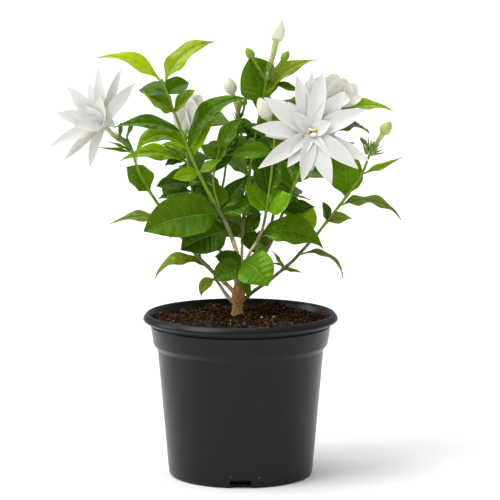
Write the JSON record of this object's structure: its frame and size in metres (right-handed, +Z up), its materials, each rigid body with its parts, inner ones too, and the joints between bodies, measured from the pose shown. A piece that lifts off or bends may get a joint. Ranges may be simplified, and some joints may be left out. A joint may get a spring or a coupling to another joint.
{
  "type": "potted belle of india jasmine",
  "caption": "Young double-flowered jasmine shrub in a round nursery pot: short forked trunk, slender boughs, glossy opposite leaves, star-shaped white flowers and pointed buds.",
  "frame": {"origin": "middle of the pot's flat underside", "axes": "+Z up from the underside, -Y towards the side with the large open flower and the broad front leaves"},
  "size_m": [0.2265, 0.1622, 0.3043],
  "materials": {
    "pot": "satin black moulded plastic",
    "soil": "loose dark peat",
    "bark": "matt brown bark",
    "young_bark": "matt grey-tan bark",
    "foliage": "glossy green leaf"
  },
  "bodies": {
    "root": {"pot": "pot", "soil": "soil", "trunk": "bark", "bough_top_left": "young_bark", "bough_top_right": "young_bark", "bough_back_centre": "young_bark", "bough_right_mid": "young_bark", "bough_left": "young_bark", "bough_left_foot": "young_bark", "bough_right_low": "young_bark", "bough_back_left": "young_bark", "bough_back_right": "young_bark", "foliage_top_left": "foliage", "foliage_centre_right": "foliage", "foliage_top_centre": "foliage", "foliage_right_flower": "foliage", "foliage_left": "foliage", "foliage_left_foot": "foliage", "foliage_right": "foliage", "foliage_fork": "foliage", "foliage_back_left": "foliage", "foliage_back_right": "foliage"}
  },
  "joints": []
}
